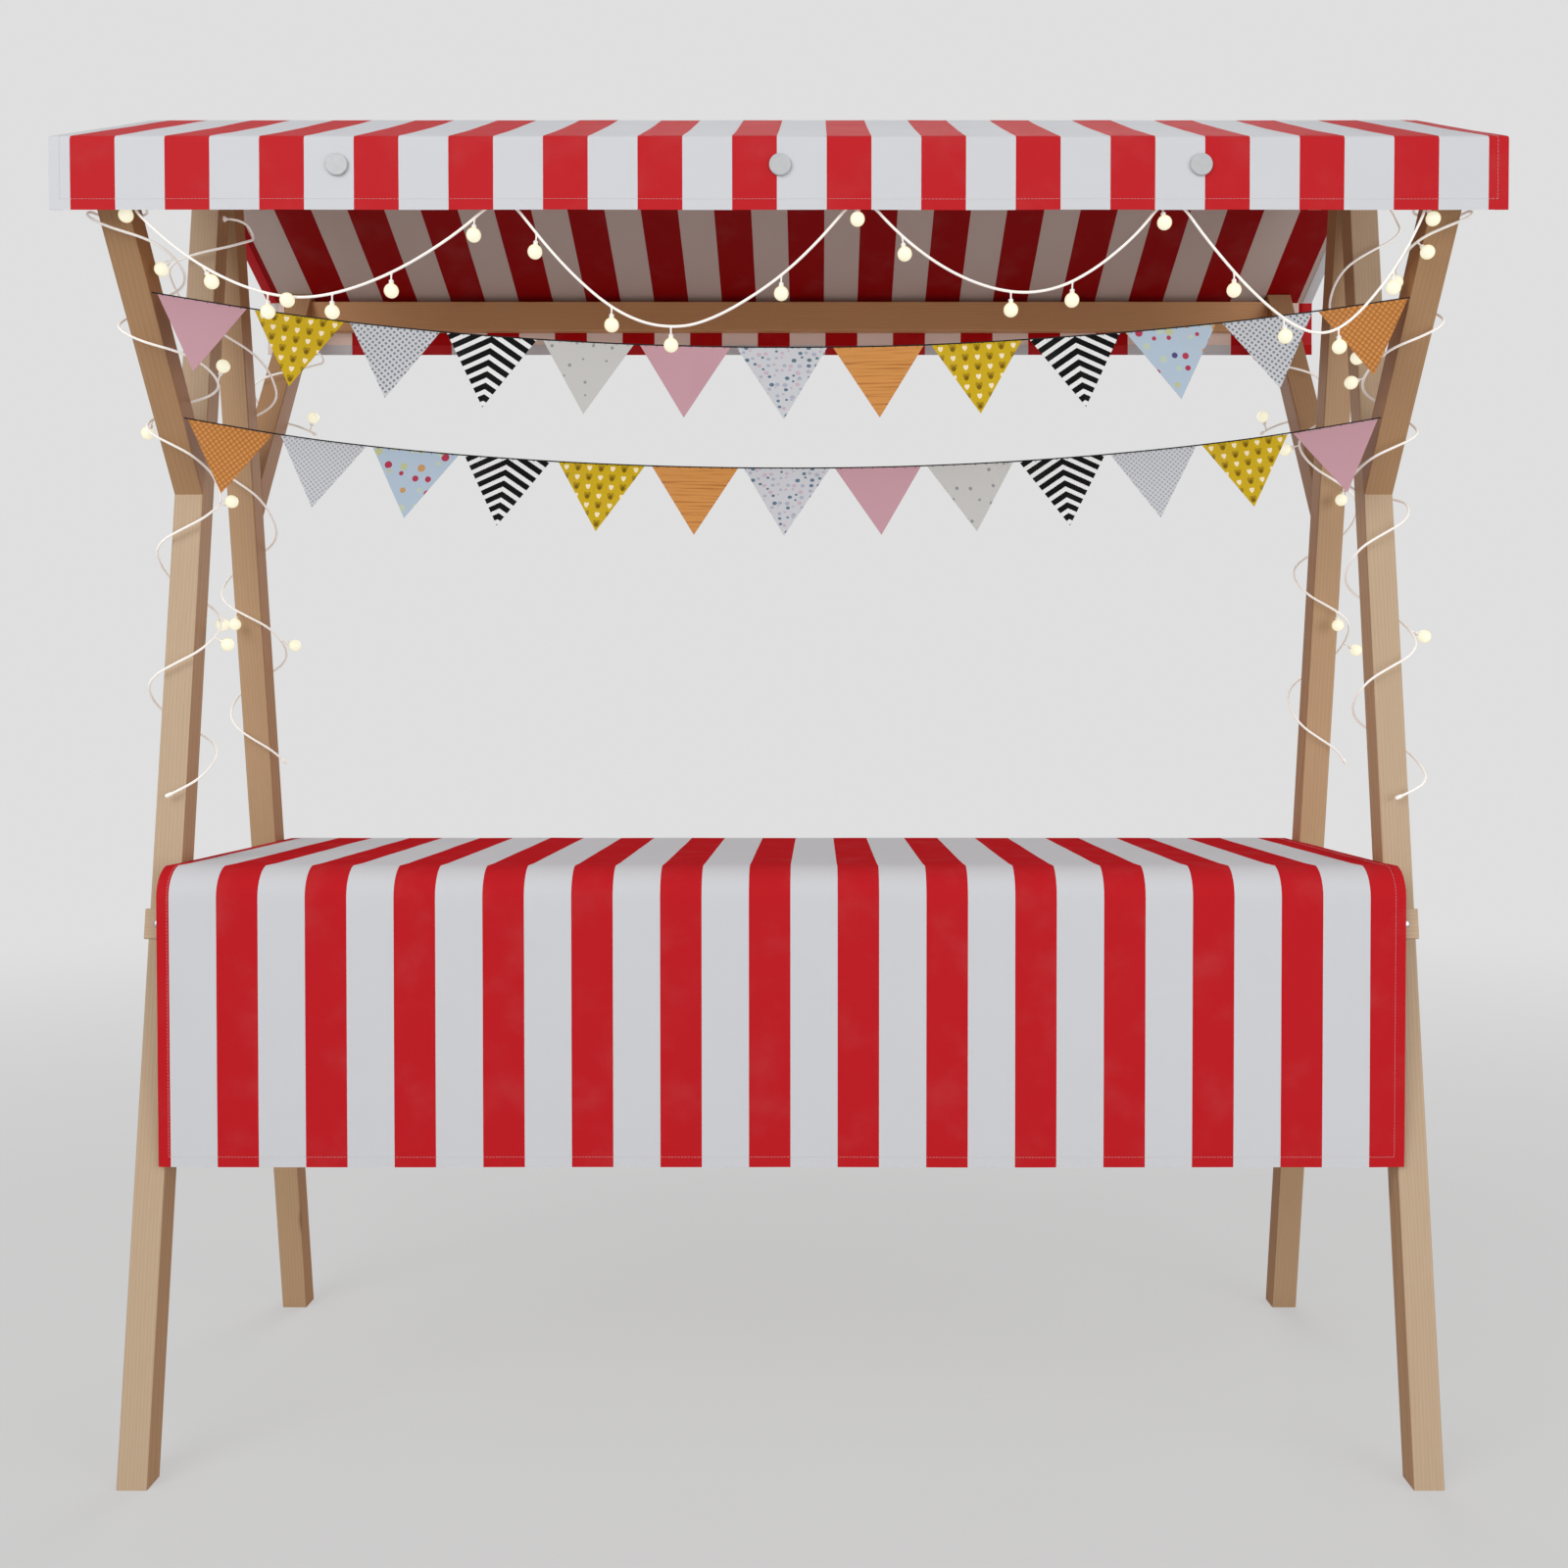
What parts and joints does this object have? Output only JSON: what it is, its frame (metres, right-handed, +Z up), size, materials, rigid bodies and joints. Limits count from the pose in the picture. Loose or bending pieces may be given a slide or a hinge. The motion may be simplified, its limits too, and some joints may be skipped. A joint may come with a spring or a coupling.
{
  "type": "market stall",
  "caption": "Wooden market stall with leaning post frames, a striped cloth roof, a covered counter, bunting and a string of small lamps.",
  "frame": {"origin": "on the floor under the middle of the stall", "axes": "+Z up, -Y towards the customers' side, X along the counter"},
  "size_m": [1.9927, 0.8731, 2.034],
  "materials": {
    "black_cord": "thin black twine",
    "button_plastic": "light grey moulded plastic",
    "counter_cloth": "red and white striped coated cloth",
    "flag_cloth": "printed cotton in several plain patterns",
    "hook_steel": "bent wire hooks",
    "lamp_glass": "frosted warm white globes",
    "pale_wood": "planed softwood with a thin clear finish",
    "plank_wood": "planed softwood boards",
    "roof_cloth": "red and white striped coated cloth",
    "white_cord": "white jacketed lighting cord"
  },
  "bodies": {
    "root": {"counter_cloth": "counter_cloth", "counter_planks": "plank_wood", "eaves_hooks": "hook_steel", "festoon_lamps": "lamp_glass", "festoon_light_cord": "white_cord", "front_eaves_rail": "pale_wood", "front_edge_board": "pale_wood", "front_left_arm": "pale_wood", "front_left_lamps": "lamp_glass", "front_left_light_cord": "white_cord", "front_left_post": "pale_wood", "front_ridge_rail": "pale_wood", "front_right_arm": "pale_wood", "front_right_lamps": "lamp_glass", "front_right_light_cord": "white_cord", "front_right_post": "pale_wood", "front_table_rail": "pale_wood", "front_valance_buttons": "button_plastic", "left_ridge_plate": "pale_wood", "left_table_bearer": "pale_wood", "lower_bunting_flags": "flag_cloth", "lower_bunting_string": "black_cord", "middle_table_bearer": "pale_wood", "rear_eaves_rail": "pale_wood", "rear_edge_board": "pale_wood", "rear_left_arm": "pale_wood", "rear_left_arm_lamps": "lamp_glass", "rear_left_arm_light_cord": "white_cord", "rear_left_lamps": "lamp_glass", "rear_left_light_cord": "white_cord", "rear_left_post": "pale_wood", "rear_ridge_rail": "pale_wood", "rear_right_arm": "pale_wood", "rear_right_arm_lamps": "lamp_glass", "rear_right_arm_light_cord": "white_cord", "rear_right_lamps": "lamp_glass", "rear_right_light_cord": "white_cord", "rear_right_post": "pale_wood", "rear_table_rail": "pale_wood", "rear_valance_buttons": "button_plastic", "right_ridge_plate": "pale_wood", "right_table_bearer": "pale_wood", "roof_cloth": "roof_cloth", "upper_bunting_flags": "flag_cloth", "upper_bunting_string": "black_cord"}
  },
  "joints": []
}
